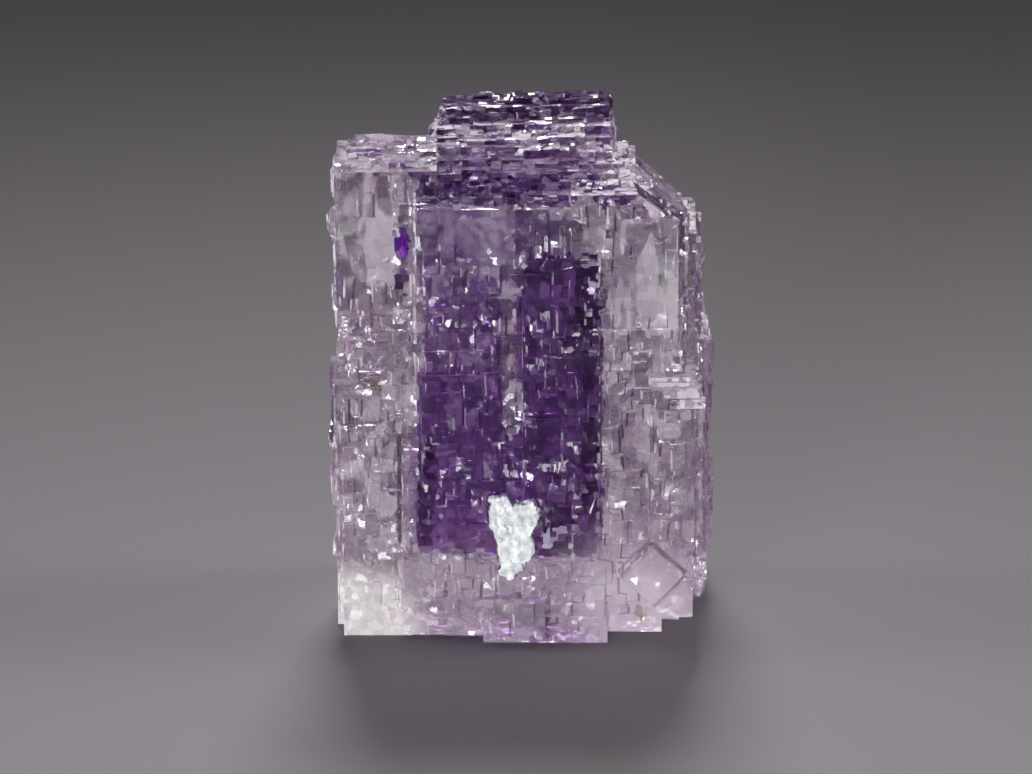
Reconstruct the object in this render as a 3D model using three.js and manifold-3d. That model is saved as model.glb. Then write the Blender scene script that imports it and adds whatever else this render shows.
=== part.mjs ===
// A loose fluorite crystal that stands on its own broken foot. It is one mosaic of nearly parallel
// blocks grown into each other, with stepped tiers on top, plates on every face, a cleaved corner
// and a small twin cube low on the front. A patch of white calcite sits in a hollow of the front.
// Millimetres, +Z up. The front looks along -Y and the right is +X.
import * as THREE from "three";
import { mergeVertices } from "three/addons/utils/BufferGeometryUtils.js";
import Module from "manifold-3d";

const wasm = await Module();
wasm.setup();

// Driving dimensions of the whole crystal
const WIDTH = 22;
const DEPTH = 13;
const HEIGHT = 30;

// Every place below is a share of those: x from the left, y from the front, z from the foot.
const RIGHT_SIDE = 0.975;
const FRONT = 0.03;
const BACK = 0.95;
const COLUMN_TOP = 0.87;

// The blocks that the crystal is grown from. lean tips a block's top to the right, and turn turns
// it about the upright, both in degrees.
const BLOCKS = {
  column: { x: [0.215, 0.9], y: [FRONT, 0.72], z: [0.05, COLUMN_TOP] },
  columnSkirt: { x: [0.186, 0.3], y: [FRONT + 0.01, 0.6], z: [0.04, 0.52] },
  upperLeft: { x: [0.024, 0.28], y: [0.1, 0.56], z: [0.6, 0.93], lean: -0.8 },
  leftWaist: { x: [0.055, 0.3], y: [0.13, 0.6], z: [0.45, 0.7] },
  lowerLeft: { x: [0.024, 0.2], y: [0.1, 0.62], z: [0, 0.525], lean: -1.6 },
  rightUpper: { x: [0.6, 0.942], y: [0.42, 0.9], z: [0.3, 0.765], turn: -1 },
  rightShoulder: { x: [0.6, 0.8], y: [0.5, 0.84], z: [0.6, 0.8] },
  rightLower: { x: [0.6, RIGHT_SIDE], y: [0.5, BACK], z: [0.05, 0.54], turn: 1 },
  backSlab: { x: [0.12, 0.76], y: [0.55, 0.92], z: [0.02, 0.875] },
  footLeft: { x: [0.186, 0.42], y: [0.05, 0.5], z: [0.014, 0.15], lean: 1 },
  footMiddle: { x: [0.535, 0.715], y: [0.015, 0.5], z: [0, 0.2] },
  footRight: { x: [0.7, 0.855], y: [0.025, 0.5], z: [0.026, 0.2] },
  footBackLeft: { x: [0.15, 0.5], y: [0.6, 0.93], z: [0, 0.5] },
  footBackRight: { x: [0.58, 0.88], y: [0.62, BACK], z: [0, 0.4] },
};

const CREST = { x: [0.295, 0.722], y: [0.68, 0.88], z: [0.82, 0.978], lean: -1.4 };

// Large flat plates that stand a little proud of the front
const FRONT_PLATES = [
  { x: [0.232, 0.443], y: [0, 0.1], z: [0.19, 0.545] },
  { x: [0.495, 0.693], y: [-0.008, 0.1], z: [0.182, 0.772] },
  { x: [0.224, 0.56], y: [0.006, 0.1], z: [0.7, COLUMN_TOP], lean: -0.6 },
  { x: [0.619, 0.887], y: [0, 0.2], z: [0.635, 0.9], lean: -0.6 },
  { x: [0.19, 0.5], y: [0.012, 0.1], z: [0.055, 0.176] },
  { x: [0.48, 0.93], y: [0.004, 0.1], z: [0.06, 0.178] },
  { x: [0.82, 0.935], y: [-0.025, 0.3], z: [0.067, 0.535], lean: 0.4 },
  { x: [0.9, 0.955], y: [0.01, 0.5], z: [0.1, 0.49] },
];

// Flat parts of the front with no small plates on them, as shares of width and height
const CLEAR_WINDOWS = [
  { x: [0, 0.215], z: [0.7, 0.95] },
  { x: [0.23, 0.5], z: [0.76, 0.88] },
  { x: [0.64, 0.88], z: [0.66, 0.9] },
  { x: [0.03, 0.17], z: [0, 0.2] },
  { x: [0.4, 0.56], z: [0.11, 0.32] },
  { x: [0.7, 0.93], z: [0.06, 0.24] },
];

// Flights of steps on top, each from its low front edge to its high back edge. The right edge
// draws in over the first share of the climb that drawnIn gives.
const FLIGHTS = [
  {
    tiers: 9,
    treads: 6,
    low: { x: [0.232, 0.8], y: 0.04, z: COLUMN_TOP },
    high: { x: [0.295, 0.722], y: 0.72, z: 0.978 },
    drawnIn: 0.6,
    back: 0.8,
    lean: -1.4,
  },
  {
    tiers: 3,
    treads: 3,
    low: { x: [0.05, 0.29], y: 0.16, z: 0.925 },
    high: { x: [0.07, 0.27], y: 0.42, z: 0.945 },
    drawnIn: 1,
    back: 0.54,
    lean: -1,
  },
];
const TREAD_JITTER = 0.035;
const TREAD_ROOT = 0.06;

// Small plates of the mosaic, in millimetres
const PLATE_PITCH = 2.1;
const PLATE_SHARE = 0.62;
const PLATE_SIZE = [0.8, 2.4];
const PLATE_PROUD = [0.1, 0.4];
const PLATE_SUNK = 0.7;
const PLATE_TILT_DEG = 1.6;

// The cleaved corner at the top right of the front
const CLEAVAGE_POINT = [0.79, 0, 0.9];
const CLEAVAGE_NORMAL = new THREE.Vector3(0.79, 0.1, 1).normalize();

// The twin cube, its edge in millimetres, turned as a penetration twin is
const TWIN_EDGE = 2.5;
const TWIN_PLACE = [0.825, 0.01, 0.147];
const TWIN_TURN_DEG = 45;
const TWIN_TIP_DEG = -9;
const TWIN_SWING_DEG = 8;

// The calcite patch: its middle, size and outline, from -1 to 1 across and up
const PATCH_MIDDLE = [0.474, 0.222];
const PATCH_WIDTH = 2.7;
const PATCH_HEIGHT = 4.8;
const PATCH_FRONT = -0.03;
const POCKET_FLOOR = 0.06;
const PATCH_GAP = 0.3;
const PATCH_OUTLINE = [
  [-1, 0.95],
  [-0.37, 1],
  [-0.08, 0.77],
  [0.75, 0.9],
  [1, 0.57],
  [0.7, 0.12],
  [0.83, -0.32],
  [0.33, -0.7],
  [-0.17, -1],
  [-0.54, -0.77],
  [-0.62, -0.12],
  [-0.92, 0.32],
];

const CUTTER = 40;
const FOOT_TRIM = 0.005;

const fluorite = new THREE.MeshStandardMaterial({ color: "#a894b4", roughness: 0.25 });
const calcite = new THREE.MeshStandardMaterial({ color: "#e4e8e8", roughness: 0.7 });

// A repeatable stream of numbers from 0 to 1
function numberStream(seed) {
  let state = seed;
  return () => {
    state = (state * 1664525 + 1013904223) % 4294967296;
    return state / 4294967296;
  };
}

const random = numberStream(7);

function between([low, high]) {
  return low + (high - low) * random();
}

function mix(low, high, share) {
  return low + (high - low) * share;
}

// A point from its shares of the width, depth and height
function place(x, y, z) {
  return new THREE.Vector3((x - 0.5) * WIDTH, (y - 0.5) * DEPTH, z * HEIGHT);
}

function solidOf(geometry) {
  geometry.deleteAttribute("normal");
  geometry.deleteAttribute("uv");
  const merged = mergeVertices(geometry);
  const vertProperties = new Float32Array(merged.getAttribute("position").array);
  const triVerts = new Uint32Array(merged.index.array);
  return new wasm.Manifold(new wasm.Mesh({ numProp: 3, vertProperties, triVerts }));
}

function geometryOf(solid) {
  const mesh = solid.getMesh();
  const geometry = new THREE.BufferGeometry();
  geometry.setAttribute("position", new THREE.BufferAttribute(mesh.vertProperties, 3));
  geometry.setIndex(new THREE.BufferAttribute(mesh.triVerts, 1));
  geometry.computeVertexNormals();
  return geometry;
}

function turned(xDeg, yDeg, zDeg) {
  const rad = THREE.MathUtils.degToRad;
  return new THREE.Quaternion().setFromEuler(new THREE.Euler(rad(xDeg), rad(yDeg), rad(zDeg)));
}

// A block's size and the matrix that puts it in place
function frameOf({ x, y, z, lean = 0, turn = 0 }) {
  const low = place(x[0], y[0], z[0]);
  const high = place(x[1], y[1], z[1]);
  const middle = low.clone().lerp(high, 0.5);
  const matrix = new THREE.Matrix4().compose(
    middle,
    turned(0, lean, turn),
    new THREE.Vector3(1, 1, 1),
  );
  return { size: high.sub(low), matrix };
}

function block(shares) {
  const { size, matrix } = frameOf(shares);
  const box = new THREE.BoxGeometry(size.x, size.y, size.z);
  return solidOf(box.applyMatrix4(matrix));
}

function inClearWindow(point) {
  const x = point.x / WIDTH + 0.5;
  const z = point.z / HEIGHT;
  return CLEAR_WINDOWS.some(
    (window) => x > window.x[0] && x < window.x[1] && z > window.z[0] && z < window.z[1],
  );
}

// Small plates strewn over one face of a block. normal is the axis that the face looks along, and
// side is 1 or -1 along it.
function platesOnFace({ size, matrix }, normal, side) {
  const [across, up] = ["x", "y", "z"].filter((axis) => axis !== normal);
  const columns = Math.max(1, Math.round(size[across] / PLATE_PITCH));
  const rows = Math.max(1, Math.round(size[up] / PLATE_PITCH));
  const plates = [];
  for (let column = 0; column < columns; column += 1) {
    for (let row = 0; row < rows; row += 1) {
      const extent = new THREE.Vector3();
      extent[across] = between(PLATE_SIZE);
      extent[up] = between(PLATE_SIZE);
      const proud = between(PLATE_PROUD);
      extent[normal] = proud + PLATE_SUNK;
      const middle = new THREE.Vector3();
      middle[across] = ((column + random()) / columns - 0.5) * (size[across] - extent[across]);
      middle[up] = ((row + random()) / rows - 0.5) * (size[up] - extent[up]);
      middle[normal] = side * (size[normal] / 2 + (proud - PLATE_SUNK) / 2);
      const tilts = [random(), random(), random()].map((share) => (share - 0.5) * 2 * PLATE_TILT_DEG);
      const kept = random() < PLATE_SHARE;
      const onFront = normal === "y" && side < 0;
      if (!kept || (onFront && inClearWindow(middle.clone().applyMatrix4(matrix)))) continue;
      const box = new THREE.BoxGeometry(extent.x, extent.y, extent.z);
      box.applyQuaternion(turned(...tilts));
      box.translate(middle.x, middle.y, middle.z);
      plates.push(solidOf(box.applyMatrix4(matrix)));
    }
  }
  return plates;
}

function mosaicPlates(shares) {
  const frame = frameOf(shares);
  return [
    ...platesOnFace(frame, "x", -1),
    ...platesOnFace(frame, "x", 1),
    ...platesOnFace(frame, "y", -1),
    ...platesOnFace(frame, "y", 1),
    ...platesOnFace(frame, "z", 1),
  ];
}

// One tier of a flight: a row of treads of uneven length, front edge and height
function tier(flight, number) {
  const share = number / flight.tiers;
  const left = mix(flight.low.x[0], flight.high.x[0], share);
  const right = mix(flight.low.x[1], flight.high.x[1], Math.min(1, share / flight.drawnIn));
  const front = mix(flight.low.y, flight.high.y, share);
  const top = mix(flight.low.z, flight.high.z, share);
  const treads = [];
  let start = left;
  for (let tread = 1; tread <= flight.treads; tread += 1) {
    const end = mix(left, right, Math.min(1, (tread + 0.5 * (random() - 0.5)) / flight.treads));
    treads.push(
      block({
        x: [start - 0.004, end],
        y: [front + (random() - 0.5) * 2 * TREAD_JITTER, flight.back],
        z: [flight.low.z - TREAD_ROOT, top + (random() - 0.5) * 0.2 * TREAD_JITTER],
        lean: flight.lean,
        turn: (random() - 0.5) * PLATE_TILT_DEG,
      }),
    );
    start = end;
  }
  return treads;
}

function flightOfSteps(flight) {
  return Array.from({ length: flight.tiers }, (unused, index) => tier(flight, index + 1)).flat();
}

// A half space to cut away, beyond the plane through point with that outward normal
function beyond(point, normal) {
  const cutter = new THREE.BoxGeometry(CUTTER, CUTTER, CUTTER);
  cutter.translate(0, 0, CUTTER / 2);
  cutter.applyQuaternion(new THREE.Quaternion().setFromUnitVectors(new THREE.Vector3(0, 0, 1), normal));
  cutter.translate(point.x, point.y, point.z);
  return solidOf(cutter);
}

function twinCube() {
  const cube = new THREE.BoxGeometry(TWIN_EDGE, TWIN_EDGE, TWIN_EDGE);
  cube.rotateY(THREE.MathUtils.degToRad(TWIN_TURN_DEG));
  cube.rotateX(THREE.MathUtils.degToRad(TWIN_TIP_DEG));
  cube.rotateZ(THREE.MathUtils.degToRad(TWIN_SWING_DEG));
  const middle = place(...TWIN_PLACE);
  return solidOf(cube.translate(middle.x, middle.y, middle.z));
}

// The patch's outline, grown by margin on every side and pushed back from front to floor
function patchBody(margin, front, floor) {
  const outline = new THREE.Shape(
    PATCH_OUTLINE.map(
      ([across, up]) =>
        new THREE.Vector2(across * (PATCH_WIDTH / 2 + margin), up * (PATCH_HEIGHT / 2 + margin)),
    ),
  );
  const depth = (floor - front) * DEPTH;
  const body = new THREE.ExtrudeGeometry(outline, { depth, bevelEnabled: false });
  body.rotateX(Math.PI / 2);
  const middle = place(PATCH_MIDDLE[0], floor, PATCH_MIDDLE[1]);
  return body.translate(middle.x, middle.y, middle.z);
}

function union(pieces) {
  return pieces.reduce((whole, piece) => whole.add(piece));
}

function crystal() {
  const blocks = Object.values(BLOCKS);
  const body = union([
    ...blocks.map(block),
    ...FRONT_PLATES.map(block),
    ...blocks.flatMap(mosaicPlates),
    ...FRONT_PLATES.flatMap((plate) => platesOnFace(frameOf(plate), "y", -1)),
  ]).subtract(beyond(place(...CLEAVAGE_POINT), CLEAVAGE_NORMAL));
  const top = [block(CREST), ...mosaicPlates(CREST), ...FLIGHTS.flatMap(flightOfSteps)];
  return union([body, ...top, twinCube()])
    .subtract(solidOf(patchBody(PATCH_GAP, -0.5, POCKET_FLOOR)))
    .subtract(beyond(place(0.5, 0.5, FOOT_TRIM), new THREE.Vector3(0, 0, -1)));
}

const crystalMesh = new THREE.Mesh(geometryOf(crystal()), fluorite);
crystalMesh.name = "fluorite_crystal";

const patchFloor = POCKET_FLOOR - PATCH_GAP / DEPTH;
const patchMesh = new THREE.Mesh(patchBody(0, PATCH_FRONT, patchFloor), calcite);
patchMesh.name = "white_calcite_patch";

// The origin is on the floor, in the middle of the crystal's box.
crystalMesh.geometry.computeBoundingBox();
const box = crystalMesh.geometry.boundingBox;
const grownTogether = new THREE.Group();
grownTogether.add(crystalMesh, patchMesh);
grownTogether.position.set(
  -(box.min.x + box.max.x) / 2,
  -(box.min.y + box.max.y) / 2,
  -box.min.z,
);

const specimen = new THREE.Group();
specimen.add(grownTogether);

export default specimen;
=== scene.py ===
"""Looks of the fluorite crystal: fine mosaic, colour zone, see-through materials, stage and camera."""

import math
import random
from types import SimpleNamespace

import bmesh
import bpy
from mathutils import Euler, Matrix, Vector, bvhtree, noise


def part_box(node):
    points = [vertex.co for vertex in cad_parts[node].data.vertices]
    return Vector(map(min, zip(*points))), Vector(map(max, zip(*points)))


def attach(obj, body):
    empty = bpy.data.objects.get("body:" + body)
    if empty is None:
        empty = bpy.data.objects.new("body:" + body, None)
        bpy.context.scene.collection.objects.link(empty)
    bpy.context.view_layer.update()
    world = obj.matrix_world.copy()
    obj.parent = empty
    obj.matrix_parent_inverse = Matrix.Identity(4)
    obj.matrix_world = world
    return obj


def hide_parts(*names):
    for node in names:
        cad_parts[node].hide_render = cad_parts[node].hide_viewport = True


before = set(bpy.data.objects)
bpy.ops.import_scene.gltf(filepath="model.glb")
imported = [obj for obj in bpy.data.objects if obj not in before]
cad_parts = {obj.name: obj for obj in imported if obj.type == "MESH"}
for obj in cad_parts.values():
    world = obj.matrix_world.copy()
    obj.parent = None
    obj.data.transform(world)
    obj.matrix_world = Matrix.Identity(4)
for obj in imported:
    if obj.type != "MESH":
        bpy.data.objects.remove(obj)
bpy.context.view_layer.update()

# Lengths are in mm unless a name says otherwise, and places are shares of the crystal's box.
# An area of the front is given by its shares as x low, x high, z low, z high.
MM = 0.001
LOW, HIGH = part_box("fluorite_crystal")
SIZE = HIGH - LOW

# Plates of the fine mosaic
CLEAR_WINDOWS = [
    (0.0, 0.21, 0.70, 0.95),
    (0.23, 0.50, 0.76, 0.87),
    (0.66, 0.87, 0.66, 0.88),
    (0.04, 0.17, 0.02, 0.20),
    (0.76, 0.93, 0.08, 0.22),
]
WINDOW_BARE = 0.9
BARE_FOOT = 1.0
PLATES_PER_MM2 = 1.35
PLATE_SIDE = (0.35, 1.15)
PLATE_TALLER = 1.5
PLATE_PROUD = (0.03, 0.26)
PLATE_SUNK = 0.3
ROOT_TEST_DEPTH = 0.6 * PLATE_SUNK
PLATE_CHAMFER = (0.05, 0.15)
PLATE_TILT_DEG = (2.2, 2.2, 2.5)
PLATE_GAP = 0.1
PLATE_GROUPS = 6
MOSAIC_SEED = 11

# Larger blocks on the front
# Ledges at the right of the front: real blocks, whose light colour is a painted highlight laid on by the
# crystal material.
PALE_LEDGES = [(0.825, 0.93, 0.530, 0.546), (0.865, 0.955, 0.511, 0.529), (0.905, 0.97, 0.490, 0.508)]
LEDGE_PROUD = 0.35
FOOT_BLOCK = ((0.40, 0.05, 0.012), (0.56, 0.40, 0.10))

# Warp of the finished mosaic
SAME_PLANE_DEG = 0.3
WARP_WIDTH = 1.3
WARP_REACH = 0.09
WARP_FULL_AT = 2.0
WARP_SEED = 3

# Colour zone: low and high corners of its boxes, and its plates
ZONE_BOX = ((0.24, 0.20, 0.20), (0.69, 0.62, 0.93))
ZONE_COLUMNS = [
    ((0.24, 0.11, 0.20), (0.44, 0.5, 0.55)),
    ((0.51, 0.11, 0.195), (0.685, 0.5, 0.78)),
    ((0.42, 0.14, 0.195), (0.53, 0.5, 0.42)),
]
ZONE_PLATES_PER_MM2 = 0.22
ZONE_PLATE_SIDE = (0.8, 2.6)
ZONE_PLATE_PROUD = (0.1, 0.7)
ZONE_SEED = 5

# White patch: its stretch, and its lumps as waves per metre with their height
PATCH_STRETCH = (1.02, 1.0, 1.03)
PATCH_VOXEL = 0.07
PATCH_LUMPS = ((1500, 0.36), (4000, 0.18))


def share_of(point):
    return Vector((point[i] - LOW[i]) / SIZE[i] for i in range(3))


def at_share(x, y, z):
    return Vector((LOW.x + x * SIZE.x, LOW.y + y * SIZE.y, LOW.z + z * SIZE.z))


def object_of(name, bm):
    mesh = bpy.data.meshes.new(name)
    bm.to_mesh(mesh)
    bm.free()
    made = bpy.data.objects.new(name, mesh)
    bpy.context.scene.collection.objects.link(made)
    return made


def box_object(name, low, high):
    bm = bmesh.new()
    corners = []
    for z in (low.z, high.z):
        for y in (low.y, high.y):
            for x in (low.x, high.x):
                corners.append(bm.verts.new((x, y, z)))
    for face in ((0, 2, 3, 1), (4, 5, 7, 6), (0, 1, 5, 4), (2, 6, 7, 3), (0, 4, 6, 2), (1, 3, 7, 5)):
        bm.faces.new([corners[i] for i in face])
    return object_of(name, bm)


def add_plate(bm, matrix, half, root, top, chamfer):
    """A plate of that half size from root up to top, with its upper edges cut back by chamfer."""
    rings = []
    for z, inset in ((root, 0.0), (top - chamfer, 0.0), (top, chamfer)):
        x = half.x - inset
        y = half.y - inset
        corners = ((-x, -y, z), (x, -y, z), (x, y, z), (-x, y, z))
        rings.append([bm.verts.new(matrix @ Vector(corner)) for corner in corners])
    bm.faces.new(reversed(rings[0]))
    bm.faces.new(rings[2])
    for lower, upper in zip(rings, rings[1:]):
        for i in range(4):
            j = (i + 1) % 4
            bm.faces.new((lower[i], lower[j], upper[j], upper[i]))


def evaluated_mesh(made):
    return bpy.data.meshes.new_from_object(made.evaluated_get(bpy.context.evaluated_depsgraph_get()))


def joined(base, tools):
    """The base with each tool joined to it in turn. The tools are removed."""
    for tool in tools:
        step = base.modifiers.new("step", "BOOLEAN")
        step.operation = "UNION"
        step.solver = "MANIFOLD"
        step.object = tool
        whole = evaluated_mesh(base)
        base.modifiers.remove(step)
        base.data = whole
        bpy.data.objects.remove(tool)
    return base


# Fine mosaic
def in_window(share, normal):
    if normal.y > -0.5:
        return False
    return any(x0 < share.x < x1 and z0 < share.z < z1 for x0, x1, z0, z1 in CLEAR_WINDOWS)


def plate_frames(mesh, rng, per_mm2):
    """Places for plates over the mesh: a matrix whose Z is the face's outward normal."""
    axes = [Vector((1, 0, 0)), Vector((0, 1, 0)), Vector((0, 0, 1))]
    for face in mesh.polygons:
        wanted = face.area / MM**2 * per_mm2
        count = int(wanted) + (rng.random() < wanted % 1)
        corners = [mesh.vertices[i].co for i in face.vertices]
        first = next(axis for axis in axes if abs(axis.dot(face.normal)) < 0.5)
        second = face.normal.cross(first).normalized()
        first = second.cross(face.normal)
        turn = Matrix((first, second, face.normal)).transposed().to_4x4()
        for _ in range(count):
            a, b = sorted((rng.random(), rng.random()))
            spot = corners[0] * a + corners[1] * (b - a) + corners[2] * (1 - b)
            bare = in_window(share_of(spot), face.normal) and rng.random() < WINDOW_BARE
            if bare or face.normal.z < -0.5 or spot.z < BARE_FOOT * MM:
                continue
            tilt = Euler([math.radians(rng.gauss(0, spread)) for spread in PLATE_TILT_DEG])
            yield Matrix.Translation(spot) @ turn @ tilt.to_matrix().to_4x4()


def is_inside(tree, point):
    near, normal, _, _ = tree.find_nearest(point)
    return (point - near).dot(normal) < 0


def is_rooted(tree, matrix, half):
    """True if all four lower corners of a plate are inside the base."""
    for x in (-half.x, half.x):
        for y in (-half.y, half.y):
            if not is_inside(tree, matrix @ Vector((x, y, -ROOT_TEST_DEPTH * MM))):
                return False
    return True


def cells_round(key):
    steps = (-1, 0, 1)
    return [(key[0] + i, key[1] + j, key[2] + k) for i in steps for j in steps for k in steps]


def plates(base, frames, rng, side, proud):
    """Plates on those places, in groups whose plates keep clear of each other."""
    tree = bvhtree.BVHTree.FromPolygons(
        [v.co for v in base.data.vertices], [tuple(p.vertices) for p in base.data.polygons]
    )
    groups = [(bmesh.new(), {}) for _ in range(PLATE_GROUPS)]
    cell = side[1] * PLATE_TALLER * MM
    for matrix in frames:
        half = Vector((rng.uniform(*side), rng.uniform(*side) * PLATE_TALLER, 0)) * MM / 2
        top = rng.uniform(*proud) * MM
        if not is_rooted(tree, matrix, half):
            continue
        reach = half.length + PLATE_GAP * MM
        spot = matrix.translation
        key = tuple(int(math.floor(value / cell)) for value in spot)
        near = cells_round(key)
        for bm, taken in groups:
            others = [other for place in near for other in taken.get(place, ())]
            if all((spot - other).length > reach + other_reach for other, other_reach in others):
                taken.setdefault(key, []).append((spot.copy(), reach))
                add_plate(bm, matrix, half, -PLATE_SUNK * MM, top, rng.uniform(*PLATE_CHAMFER) * MM)
                break
    return [object_of(f"plates_{i}", bm) for i, (bm, _) in enumerate(groups)]


def with_plates(base, seed, per_mm2, side, proud):
    rng = random.Random(seed)
    frames = list(plate_frames(base.data, rng, per_mm2))
    rng.shuffle(frames)
    return joined(base, plates(base, frames, rng, side, proud))


def with_front_blocks(crystal):
    """The crystal with a low block at its front foot and the ledges on the right of its front, which the
    crystal material paints with a highlight.
    """
    tools = [box_object("foot", at_share(*FOOT_BLOCK[0]), at_share(*FOOT_BLOCK[1]))]
    for x0, x1, z0, z1 in PALE_LEDGES:
        before = at_share((x0 + x1) / 2, -0.1, (z0 + z1) / 2)
        face = crystal.ray_cast(before, Vector((0, 1, 0)))[1]
        low = Vector((at_share(x0, 0, 0).x, face.y - LEDGE_PROUD * MM, at_share(0, 0, z0).z))
        high = Vector((at_share(x1, 0, 0).x, face.y + PLATE_SUNK * MM, at_share(0, 0, z1).z))
        tools.append(box_object("ledge", low, high))
    return joined(crystal, tools)


def even_triangles(mesh):
    """Joins faces that lie in one plane and cuts them again into less thin triangles."""
    bm = bmesh.new()
    bm.from_mesh(mesh)
    bmesh.ops.dissolve_limit(bm, angle_limit=math.radians(SAME_PLANE_DEG), verts=bm.verts, edges=bm.edges)
    bmesh.ops.triangulate(bm, faces=bm.faces, quad_method="BEAUTY", ngon_method="BEAUTY")
    bm.to_mesh(mesh)
    bm.free()


def warped(mesh):
    """Moves the vertices a little along a smooth noise, so that few edges are quite straight."""
    noise.seed_set(WARP_SEED)
    for vertex in mesh.vertices:
        rise = min(1.0, vertex.co.z / (WARP_FULL_AT * MM))
        vertex.co += noise.noise_vector(vertex.co / (WARP_WIDTH * MM)) * WARP_REACH * rise * MM


def fine_crystal():
    bm = bmesh.new()
    bm.from_mesh(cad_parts["fluorite_crystal"].data)
    bmesh.ops.remove_doubles(bm, verts=bm.verts, dist=1e-7)
    bmesh.ops.triangulate(bm, faces=bm.faces)
    made = with_front_blocks(object_of("fluorite_crystal_mosaic", bm))
    with_plates(made, MOSAIC_SEED, PLATES_PER_MM2, PLATE_SIDE, PLATE_PROUD)
    even_triangles(made.data)
    warped(made.data)
    return made


# Colour zone
def purple_zone():
    made = box_object("purple_zone", at_share(*ZONE_BOX[0]), at_share(*ZONE_BOX[1]))
    columns = [box_object("column", at_share(*low), at_share(*high)) for low, high in ZONE_COLUMNS]
    joined(made, columns)
    bm = bmesh.new()
    bm.from_mesh(made.data)
    bmesh.ops.triangulate(bm, faces=bm.faces)
    bm.to_mesh(made.data)
    bm.free()
    return with_plates(made, ZONE_SEED, ZONE_PLATES_PER_MM2, ZONE_PLATE_SIDE, ZONE_PLATE_PROUD)


# White patch
def lumpy_patch():
    bm = bmesh.new()
    bm.from_mesh(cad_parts["white_calcite_patch"].data)
    bmesh.ops.remove_doubles(bm, verts=bm.verts, dist=1e-7)
    made = object_of("white_calcite_lumps", bm)
    low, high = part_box("white_calcite_patch")
    middle = (low + high) / 2
    for vertex in made.data.vertices:
        off = vertex.co - middle
        vertex.co = middle + Vector(off[i] * PATCH_STRETCH[i] for i in range(3))
    remesh = made.modifiers.new("remesh", "REMESH")
    remesh.mode = "VOXEL"
    remesh.voxel_size = PATCH_VOXEL * MM
    made.data = evaluated_mesh(made)
    made.modifiers.clear()
    for vertex in made.data.vertices:
        rise = sum(noise.noise(vertex.co * waves) * height for waves, height in PATCH_LUMPS)
        vertex.co += vertex.normal * rise * MM
    return made


# Materials
class Nodes:
    """A material's node tree, with short ways to add and join nodes."""

    def __init__(self, name):
        self.material = bpy.data.materials.new(name)
        self.material.use_nodes = True
        self.tree = self.material.node_tree
        self.shader = self.tree.nodes["Principled BSDF"]
        self.output = self.tree.nodes["Material Output"]

    def join(self, value, socket):
        if isinstance(value, bpy.types.NodeSocket):
            self.tree.links.new(value, socket)
        else:
            socket.default_value = value

    def add(self, kind, inputs=None, **settings):
        node = self.tree.nodes.new(kind)
        for name, value in settings.items():
            setattr(node, name, value)
        for name, value in (inputs or {}).items():
            self.join(value, node.inputs[name])
        return node

    def math(self, operation, first, second=0.0):
        return self.add("ShaderNodeMath", {0: first, 1: second}, operation=operation).outputs[0]

    def times(self, first, second):
        return self.math("MULTIPLY", first, second)

    def most(self, *values):
        """The largest of the values."""
        largest = values[0]
        for value in values[1:]:
            largest = self.math("MAXIMUM", largest, value)
        return largest

    def vector(self, operation, *values):
        return self.add("ShaderNodeVectorMath", dict(enumerate(values)), operation=operation)

    def scaled(self, vector, amount):
        inputs = {0: vector, "Scale": amount}
        return self.add("ShaderNodeVectorMath", inputs, operation="SCALE").outputs[0]

    def parts(self, vector):
        return self.add("ShaderNodeSeparateXYZ", {0: vector}).outputs

    def ramp(self, value, low, high, to_low=0.0, to_high=1.0):
        inputs = {"Value": value, "From Min": low, "From Max": high, "To Min": to_low, "To Max": to_high}
        return self.add("ShaderNodeMapRange", inputs, interpolation_type="SMOOTHSTEP").outputs[0]

    def colour(self, share, low, high):
        node = self.add("ShaderNodeMix", data_type="RGBA", blend_type="MIX")
        for value, index in ((share, 0), (low, 6), (high, 7)):
            self.join((*value, 1) if isinstance(value, tuple) else value, node.inputs[index])
        return node.outputs[2]

    def cells(self, place, width):
        """Blocky cells that follow the crystal's axes."""
        inputs = {"Vector": place, "Scale": 1 / (width * MM), "Randomness": 0.85}
        return self.add("ShaderNodeTexVoronoi", inputs, distance="CHEBYCHEV", feature="F1")

    def noise(self, place, width, detail=2.0):
        inputs = {"Vector": place, "Scale": 1 / (width * MM), "Detail": detail}
        return self.add("ShaderNodeTexNoise", inputs).outputs["Fac"]

    def offset(self, place, middle, reach):
        """How far place is from middle along x and z, in reaches, with no signs."""
        slope = Vector((1 / reach.x, 0.0, 1 / reach.z))
        start = Vector(-slope[i] * middle[i] for i in range(3))
        away = self.vector("MULTIPLY_ADD", place, slope, start).outputs[0]
        return self.vector("ABSOLUTE", away).outputs[0]

    def box_mask(self, place, area):
        """1 inside an area of the front, 0 outside."""
        low = at_share(area[0], 0.0, area[2])
        high = at_share(area[1], 0.0, area[3])
        away = self.parts(self.offset(place, (low + high) / 2, (high - low) / 2))
        return self.math("LESS_THAN", self.math("MAXIMUM", away["X"], away["Z"]), 1.0)

    def any_mask(self, place, areas):
        return self.most(0.0, *[self.box_mask(place, area) for area in areas])

    def spot(self, place, centre, core, reach, taller=1.0):
        """1 within core of a centre given as shares across and up, fading to 0 at reach."""
        away = self.vector("SUBTRACT", place, tuple(at_share(centre[0], 0.0, centre[1]))).outputs[0]
        away = self.vector("MULTIPLY", away, (1.0, 0.0, 1.0 / taller)).outputs[0]
        length = self.vector("LENGTH", away).outputs["Value"]
        return self.ramp(length, core * MM, reach * MM, 1.0, 0.0)

    def absorb(self, colour, density):
        volume = self.add("ShaderNodeVolumeAbsorption", {"Color": (*colour, 1), "Density": density})
        self.join(volume.outputs["Volume"], self.output.inputs["Volume"])


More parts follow.
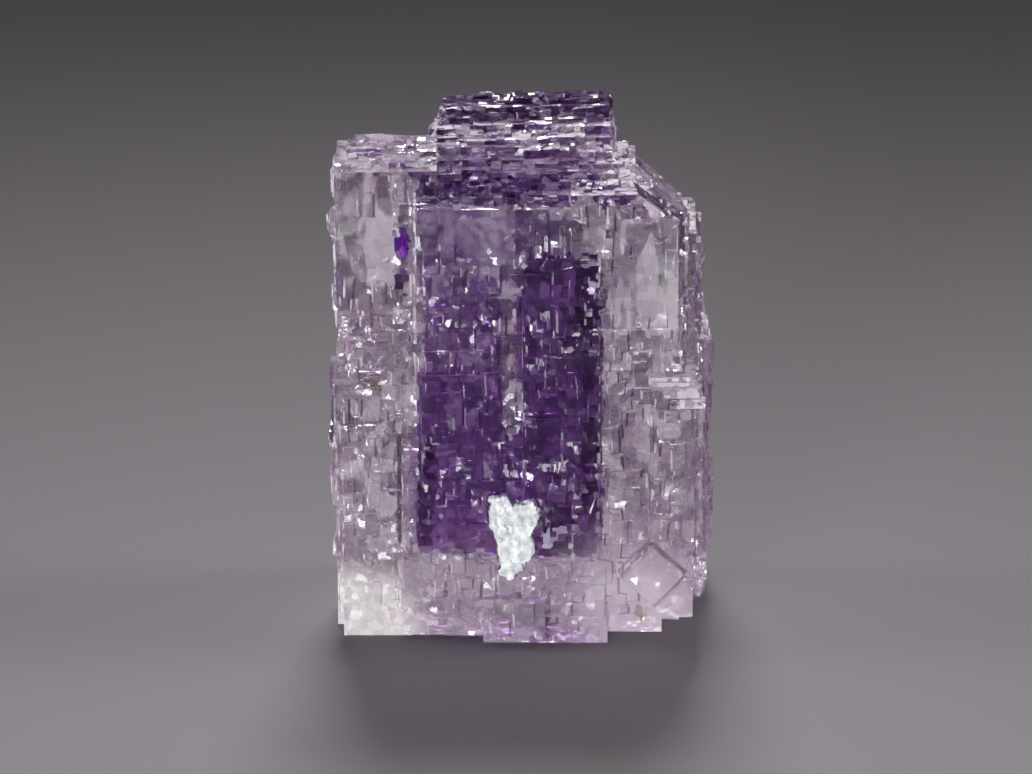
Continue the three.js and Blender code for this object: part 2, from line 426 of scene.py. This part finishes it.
# Crystal: areas of the front with their depth of purple
DARK_ZONES = [
    ((0.232, 0.447, 0.19, 0.555), 0.62),
    ((0.43, 0.51, 0.185, 0.42), 0.66),
    ((0.50, 0.70, 0.184, 0.79), 0.75),
    ((0.25, 0.50, 0.54, 0.74), 0.45),
    ((0.24, 0.60, 0.72, 0.89), 0.32),
    ((0.21, 0.235, 0.19, 0.42), 0.35),
    ((0.52, 0.72, 0.00, 0.05), 0.35),
    ((0.228, 0.265, 0.20, 0.42), 1.0),
    ((0.635, 0.70, 0.63, 0.79), 1.1),
    ((0.655, 0.70, 0.19, 0.62), 0.95),
    ((0.54, 0.68, 0.185, 0.215), 1.0),
    ((0.23, 0.55, 0.885, 0.905), 0.9),
    # This box, a hollow right of the white patch, is purple deepened to near-black as painted shade.
    ((0.545, 0.645, 0.235, 0.285), 1.1),
    ((0.28, 0.76, 0.968, 1.05), 1.05),
    ((0.183, 0.20, 0.70, 0.74), 0.9),
]
MIDDLE_STEPS = (0.2, 0.78, 0.885, 1.2)
LEFT_STEPS = (0.03, 0.3, 0.935, 1.2)
CLEAVED_NORMAL = (0.617, 0.078, 0.783)

# Crystal: other marks of the front
BROAD_CELL = 1.1
SMALL_CELL = 0.42
SMOOTH_WINDOWS = [(0.03, 0.17, 0.72, 0.97), (0.24, 0.48, 0.78, 0.88), (0.72, 0.90, 0.62, 0.86)]
STREAK_WIDTH = 1.3
STREAK_SQUEEZE = (1.0, 1.0, 0.3)
ROSY_FOOT = (0.18, 1.1, -0.1, 0.175)
FROST = (0.55, 0.655, 0.205, 0.238)
# Painted reflections: whitish spots that stand in for smooth reflections on the clear windows.
SHEENS = [((0.065, 0.85), 2.4), ((0.86, 0.745), 3.2), ((0.045, 0.27), 1.6)]
# Painted shade: near-black lines along grooves and edges of blocks.
DARK_LINES = [(0.176, 0.187, 0.20, 0.415), (0.902, 0.917, 0.70, 0.86), (0.0, 0.012, 0.36, 0.52)]
# Painted highlights: light lines along block edges and on the ledges at the right.
PALE_LINES = [(0.222, 0.229, 0.44, 0.90), (0.042, 0.185, 0.984, 0.996), *PALE_LEDGES]
PALE_SEAM = (0.448, 0.485, 0.44, 0.73)
STAINS = [(0.115, 0.51, 0.6), (0.56, 0.93, 0.5), (0.81, 0.065, 0.6), (0.055, 0.32, 0.5), (0.49, 0.60, 0.3)]
TWIN_CENTRE = (0.838, 0.153)
TWIN_REACH = (0.088, 0.06)

# Crystal: spots, each as centre, core, reach and how much taller than wide
MILKY_SPOT = ((0.07, 0.0), 2.0, 6.0)
PINKISH_SPOT = ((0.78, 0.06), 1.5, 7.0)
VIOLET_SPOT = ((0.195, 0.80), 0.3, 0.75, 1.9)
# Painted glint: a vivid violet core in the violet spot, for light seen through the corner of the purple
# zone.
VIOLET_GLOW = ((0.196, 0.782), 0.12, 0.3, 1.6)

# Crystal: colours
CLEAR_DIM = (0.50, 0.40, 0.54)
CLEAR_BRIGHT = (1.0, 0.94, 1.0)
PEACH = (0.80, 0.66, 0.68)
ROSE = (0.86, 0.72, 0.86)
GREY_STREAK = (0.34, 0.27, 0.36)
PURPLE = (0.28, 0.11, 0.42)
BLACK_PURPLE = (0.05, 0.012, 0.09)
# Near-black of the painted shade lines.
DARK_LINE = (0.12, 0.06, 0.15)
# Colour of the painted highlight lines.
PALE_LINE = (0.92, 0.85, 0.94)
# Colour of the painted highlight on step tops.
PALE_TREAD = (0.94, 0.88, 0.94)
# Colour of the painted reflections.
PALE_SHEEN = (0.98, 0.97, 0.99)
PALE_PINK = (0.98, 0.88, 0.97)
MILK = (0.97, 0.95, 0.92)
FROST_WHITE = (0.80, 0.86, 0.94)
VIOLET = (0.12, 0.005, 0.34)
# Colour of the painted violet glint.
BRIGHT_VIOLET = (0.40, 0.02, 0.95)
STAIN_BROWN = (0.45, 0.30, 0.12)
CRYSTAL_TINT = (0.75, 0.58, 0.76)
CRYSTAL_TINT_DENSITY = 22
FLUORITE_IOR = 1.434
ZONE_TINT = (0.46, 0.16, 0.68)
ZONE_TINT_DENSITY = 150


def depth_of_purple(n, m):
    """Purple of the zones in DARK_ZONES, one of them deepened as painted shade, of the risers of the steps
    on top, and of the cleaved corner.
    """
    zones = n.most(0.0, *[n.times(n.box_mask(m.block, area), depth) for area, depth in DARK_ZONES])
    zones = n.times(zones, n.ramp(n.box_mask(m.block, PALE_SEAM), 0.0, 1.0, 1.0, 0.35))
    risers = n.times(n.ramp(m.toward["Y"], -0.9, -0.3, 1.0, 0.0), n.ramp(m.flicker[2], 0.2, 0.8, 0.2, 0.95))
    steps = n.times(n.box_mask(m.block, MIDDLE_STEPS), risers)
    left_steps = n.times(n.times(n.box_mask(m.block, LEFT_STEPS), risers), 0.7)
    along_cleaved = n.vector("DOT_PRODUCT", m.facing, CLEAVED_NORMAL).outputs["Value"]
    rim = n.ramp(m.along["Y"], at_share(0, 0.15, 0).y, at_share(0, 0.45, 0).y, 1.0, 0.3)
    cleaved = n.times(n.ramp(along_cleaved, 0.90, 0.97), rim)
    return n.times(n.most(zones, steps, left_steps, cleaved), n.ramp(m.grain[0], 0.0, 1.0, 0.72, 1.2))


def twin_distance(n, place):
    """0 at the middle of the twin cube's face, 1 at its edge, over the front."""
    middle = at_share(TWIN_CENTRE[0], 0.0, TWIN_CENTRE[1])
    reach = Vector((TWIN_REACH[0] * SIZE.x, 0.0, TWIN_REACH[1] * SIZE.z))
    return n.vector("DOT_PRODUCT", n.offset(place, middle, reach), (1.0, 1.0, 1.0)).outputs["Value"]


def crystal_places(n):
    """Places, cells and facings that the crystal's marks are worked out from."""
    m = SimpleNamespace()
    m.place = n.add("ShaderNodeTexCoord").outputs["Object"]
    m.along = n.parts(m.place)
    m.broad = n.cells(m.place, BROAD_CELL)
    m.small = n.cells(m.place, SMALL_CELL)
    m.block = m.small.outputs["Position"]
    m.flicker = n.add("ShaderNodeSeparateColor", {0: m.broad.outputs["Color"]}).outputs
    m.grain = n.add("ShaderNodeSeparateColor", {0: m.small.outputs["Color"]}).outputs
    m.light = n.math("ADD", n.times(m.flicker[1], 0.75), n.times(m.grain[1], 0.25))
    m.facing = n.add("ShaderNodeNewGeometry").outputs["True Normal"]
    m.toward = n.parts(m.facing)
    m.front = n.ramp(m.along["Y"], at_share(0, 0.40, 0).y, at_share(0, 0.45, 0).y, 1.0, 0.0)
    return m


def add_cloudy_marks(n, m):
    """Windows, streaks, cloudy places, frost specks, and whitish spots that are painted reflections."""
    m.window = n.any_mask(m.block, SMOOTH_WINDOWS)
    squeezed = n.vector("MULTIPLY", m.place, STREAK_SQUEEZE).outputs[0]
    m.streaks = n.ramp(n.noise(squeezed, STREAK_WIDTH), 0.46, 0.55)
    m.milky = n.spot(m.place, *MILKY_SPOT)
    m.pinkish = n.spot(m.place, *PINKISH_SPOT)
    m.rosy = n.box_mask(m.block, ROSY_FOOT)
    blocky = m.broad.outputs["Position"]
    # Painted reflections: whitish spots on the front, snapped to the broad cells.
    sheens = [n.spot(blocky, centre, 0.2 * reach, reach) for centre, reach in SHEENS]
    m.sheen = n.times(n.most(0.0, *sheens), m.front)
    specks = n.math("GREATER_THAN", m.grain[2], 0.6)
    m.frost = n.times(n.times(n.box_mask(m.block, FROST), specks), m.front)


def add_edge_marks(n, m):
    """Painted light and shade: highlights on step tops, on lines along block edges and on slants that face
    left, and a lighter twin face; shade on lines along block edges, around the twin cube and on slants that
    face right.
    """
    # Painted highlight on step tops: faces that look up are made lighter, as if lit from above, less on the
    # far left and where the purple is deep.
    tread = n.times(n.ramp(m.toward["Z"], 0.6, 0.95), n.ramp(m.purple, 0.3, 0.9, 1.0, 0.1))
    left_end = at_share(0.20, 0, 0).x
    m.tread = n.times(tread, n.ramp(m.along["X"], left_end, at_share(0.3, 0, 0).x, 0.45, 1.0))
    # Painted light by facing: slanted faces that look left are made lighter and those that look right
    # darker.
    aslant = n.ramp(n.math("ABSOLUTE", m.toward["X"]), 0.85, 0.95, 1.0, 0.0)
    right_edge = n.times(n.ramp(m.toward["X"], 0.25, 0.6), aslant)
    left_edge = n.times(n.ramp(m.toward["X"], -0.6, -0.25, 1.0, 0.0), aslant)
    twin = twin_distance(n, m.place)
    twin_face = n.times(n.math("LESS_THAN", twin, 0.93), m.front)
    # Painted shade in the groove round the twin cube: a near-black ring along the edge of its face.
    twin_rim = n.times(n.ramp(twin, 0.90, 0.96), n.ramp(twin, 1.02, 1.12, 1.0, 0.0))
    # Painted shade: the listed lines, the twin's ring and slants that face right.
    dark = n.times(n.most(n.any_mask(m.place, DARK_LINES), twin_rim), m.front)
    m.dark = n.most(dark, n.times(right_edge, 0.7))
    # Painted highlights: the listed lines and slants that face left, broken up by cell, plus a lighter twin
    # face.
    pale = n.most(n.times(n.any_mask(m.place, PALE_LINES), m.front), n.times(left_edge, 0.8))
    pale = n.times(pale, n.ramp(m.grain[1], 0.1, 0.9, 0.15, 1.0))
    m.pale = n.most(n.times(twin_face, 0.42), pale)


def crystal_colour(n, m):
    """The clear colour of the cells, with each mark laid over it in turn; the marks include painted
    highlights, painted reflections, a painted glint and painted shade lines.
    """
    layers = [
        (n.ramp(m.flicker[0], 0.7, 0.9, 0.0, 0.5), PEACH),
        (n.times(m.rosy, 0.5), ROSE),
        (n.times(m.streaks, n.times(m.window, 0.6)), GREY_STREAK),
        (n.ramp(m.purple, 0.0, 0.6), PURPLE),
        (n.ramp(m.purple, 0.55, 1.1), BLACK_PURPLE),
        # Painted shade lines.
        (n.times(m.dark, 0.9), DARK_LINE),
        # Painted highlights on lines and slants, and the lighter twin face.
        (n.times(m.pale, 0.6), PALE_LINE),
        # Painted highlight on step tops.
        (n.times(m.tread, n.ramp(m.grain[1], 0.2, 0.8, 0.3, 1.0)), PALE_TREAD),
        # Painted reflections.
        (n.times(m.sheen, 0.35), PALE_SHEEN),
        (n.times(m.pinkish, 0.6), PALE_PINK),
        (n.times(m.milky, n.ramp(m.light, 0.1, 0.8, 0.5, 1.0)), MILK),
        (n.times(m.frost, 0.8), FROST_WHITE),
        (n.times(n.spot(m.block, *VIOLET_SPOT), m.front), VIOLET),
        # Painted violet glint.
        (n.times(n.spot(m.place, *VIOLET_GLOW), m.front), BRIGHT_VIOLET),
    ]
    for x, z, width in STAINS:
        stain = n.spot(m.block, (x, z), 0.2 * width, width)
        layers.append((n.times(stain, n.times(m.front, 0.7)), STAIN_BROWN))
    colour = n.colour(m.light, CLEAR_DIM, CLEAR_BRIGHT)
    for share, tint in layers:
        colour = n.colour(share, colour, tint)
    return colour


def tilted_normal(n, m):
    """The normal tilted a little by cell, and less in the smooth windows."""
    half = (0.5, 0.5, 0.5)
    broad = n.vector("SUBTRACT", m.broad.outputs["Color"], half).outputs[0]
    small = n.vector("SUBTRACT", m.small.outputs["Color"], half).outputs[0]
    tilt = n.vector("ADD", n.scaled(broad, 0.3), n.scaled(small, 0.35)).outputs[0]
    tilt = n.scaled(tilt, n.ramp(m.window, 0.0, 1.0, 1.0, 0.3))
    normal = n.vector("ADD", n.add("ShaderNodeNewGeometry").outputs["Normal"], tilt).outputs[0]
    return n.vector("NORMALIZE", normal).outputs[0]


def crystal_roughness(n, m):
    extra = n.math("ADD", n.times(n.ramp(m.purple, 0.2, 0.8), 0.08), n.times(m.milky, 0.2))
    return n.math("ADD", extra, n.ramp(m.grain[2], 0.0, 1.0, 0.03, 0.18))


def crystal_cloudiness(n, m):
    """Share of the surface's light that is scattered there, not passed on."""
    smooth = n.times(m.window, n.ramp(m.streaks, 0.0, 1.0, 0.34, 0.1))
    # Step tops, highlight lines and reflection spots pass less light on, so that their painted highlights
    # and reflections show.
    bright = n.most(n.times(m.tread, n.ramp(m.grain[1], 0.2, 0.8, 0.2, 0.9)), m.pale)
    return n.most(
        n.times(m.milky, 0.6),
        n.times(m.rosy, 0.22),
        n.times(m.pinkish, 0.42),
        n.times(m.sheen, 0.22),
        n.times(m.frost, 0.4),
        n.ramp(m.light, 0.1, 0.9, 0.06, 0.26),
        n.times(smooth, n.math("SUBTRACT", 1.0, m.purple)),
        n.times(bright, 0.6),
    )


def crystal_material():
    n = Nodes("fluorite")
    m = crystal_places(n)
    m.purple = depth_of_purple(n, m)
    add_cloudy_marks(n, m)
    add_edge_marks(n, m)
    n.join(crystal_colour(n, m), n.shader.inputs["Base Color"])
    n.join(tilted_normal(n, m), n.shader.inputs["Normal"])
    n.join(crystal_roughness(n, m), n.shader.inputs["Roughness"])
    clear = n.math("SUBTRACT", 1.0, crystal_cloudiness(n, m))
    n.join(clear, n.shader.inputs["Transmission Weight"])
    n.shader.inputs["IOR"].default_value = FLUORITE_IOR
    n.absorb(CRYSTAL_TINT, CRYSTAL_TINT_DENSITY)
    return n.material


def zone_material():
    """Bends no light inside the crystal and only absorbs it, so the zone shows as colour."""
    n = Nodes("purple_zone")
    n.shader.inputs["Base Color"].default_value = (1, 1, 1, 1)
    n.shader.inputs["Transmission Weight"].default_value = 1.0
    n.shader.inputs["Roughness"].default_value = 0.0
    n.shader.inputs["IOR"].default_value = 1.0
    n.absorb(ZONE_TINT, ZONE_TINT_DENSITY)
    return n.material


# White patch: colours and the grain of its surface
CALCITE_SHADE = (0.60, 0.64, 0.68)
CALCITE_WHITE = (0.93, 0.94, 0.95)
CALCITE_MOTTLE = 0.5
CALCITE_GRAIN = 0.15
CALCITE_GRAIN_HEIGHT = 0.05


def patch_material():
    n = Nodes("calcite")
    place = n.add("ShaderNodeTexCoord").outputs["Object"]
    shade = n.ramp(n.noise(place, CALCITE_MOTTLE, 4.0), 0.35, 0.65)
    n.join(n.colour(shade, CALCITE_SHADE, CALCITE_WHITE), n.shader.inputs["Base Color"])
    height = n.noise(place, CALCITE_GRAIN, 4.0)
    inputs = {"Height": height, "Distance": CALCITE_GRAIN_HEIGHT * MM, "Strength": 0.7}
    n.join(n.add("ShaderNodeBump", inputs).outputs[0], n.shader.inputs["Normal"])
    n.shader.inputs["Roughness"].default_value = 0.75
    return n.material


# Pieces
crystal = fine_crystal()
zone = purple_zone()
patch = lumpy_patch()
for piece, material, slot in (
    (crystal, crystal_material(), "fluorite"),
    (zone, zone_material(), "fluorite"),
    (patch, patch_material(), "calcite"),
):
    piece.data.materials.clear()
    piece.data.materials.append(material)
    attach(piece, "root")
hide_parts("fluorite_crystal")
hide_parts("white_calcite_patch")


# Stage, in metres and watts
FLOOR_COLOUR = (0.18, 0.168, 0.18, 1)
FLOOR_HALF_WIDTH = 1
FLOOR_DROP = 0.02 * MM
CRYSTAL_MIDDLE = (0.0, 0.0, 0.016)
SKY_COLOUR = (0.5, 0.47, 0.5, 1)
SKY_STRENGTH = 0.12
CAMERA_ELEVATION_DEG = 20
CAMERA_DISTANCE = 0.36
CAMERA_LENS_MM = 221
CAMERA_SENSOR_MM = 36
CAMERA_AIM_UP = 14.66 * MM
CAMERA_AIM_LEFT = 0.34 * MM
FOOT_FRONT_INSET = 1.2 * MM


def floor():
    bm = bmesh.new()
    for x, y in ((-1, -1), (1, -1), (1, 1), (-1, 1)):
        bm.verts.new((x * FLOOR_HALF_WIDTH, y * FLOOR_HALF_WIDTH, -FLOOR_DROP))
    bm.faces.new(bm.verts)
    made = object_of("floor", bm)
    n = Nodes("floor")
    n.shader.inputs["Base Color"].default_value = FLOOR_COLOUR
    n.shader.inputs["Roughness"].default_value = 1.0
    n.shader.inputs["Specular IOR Level"].default_value = 0.0
    made.data.materials.append(n.material)


def area_light(name, spot, aim, size, watts, spread_deg):
    data = bpy.data.lights.new(name, "AREA")
    data.energy = watts
    data.size = size
    data.spread = math.radians(spread_deg)
    lamp = bpy.data.objects.new(name, data)
    lamp.location = spot
    lamp.rotation_euler = (Vector(aim) - Vector(spot)).to_track_quat("-Z", "Y").to_euler()
    bpy.context.scene.collection.objects.link(lamp)


def lights():
    area_light("back_top", (0.0, 0.20, 0.30), (0.0, -0.08, 0.0), 0.11, 0.13, 40)
    area_light("left", (-0.30, 0.02, 0.06), CRYSTAL_MIDDLE, 0.24, 0.165, 30)
    area_light("right", (0.30, 0.02, 0.07), CRYSTAL_MIDDLE, 0.24, 0.22, 30)
    area_light("front", (-0.12, -0.36, 0.05), CRYSTAL_MIDDLE, 0.26, 0.225, 30)
    world = bpy.data.worlds.new("studio")
    bpy.context.scene.world = world
    world.use_nodes = True
    background = world.node_tree.nodes["Background"]
    background.inputs["Color"].default_value = SKY_COLOUR
    background.inputs["Strength"].default_value = SKY_STRENGTH
    bpy.context.scene.view_settings.view_transform = "Standard"


def camera():
    elevation = math.radians(CAMERA_ELEVATION_DEG)
    look = Vector((0, math.cos(elevation), -math.sin(elevation)))
    up = Vector((0, math.sin(elevation), math.cos(elevation)))
    foot_front = Vector((0, LOW.y + FOOT_FRONT_INSET, 0))
    target = foot_front + up * CAMERA_AIM_UP - Vector((CAMERA_AIM_LEFT, 0, 0))
    data = bpy.data.cameras.new("camera")
    data.lens = CAMERA_LENS_MM
    data.sensor_width = CAMERA_SENSOR_MM
    made = bpy.data.objects.new("camera", data)
    made.location = target - look * CAMERA_DISTANCE
    made.rotation_euler = look.to_track_quat("-Z", "Y").to_euler()
    bpy.context.scene.collection.objects.link(made)
    bpy.context.scene.camera = made


floor()
lights()
camera()
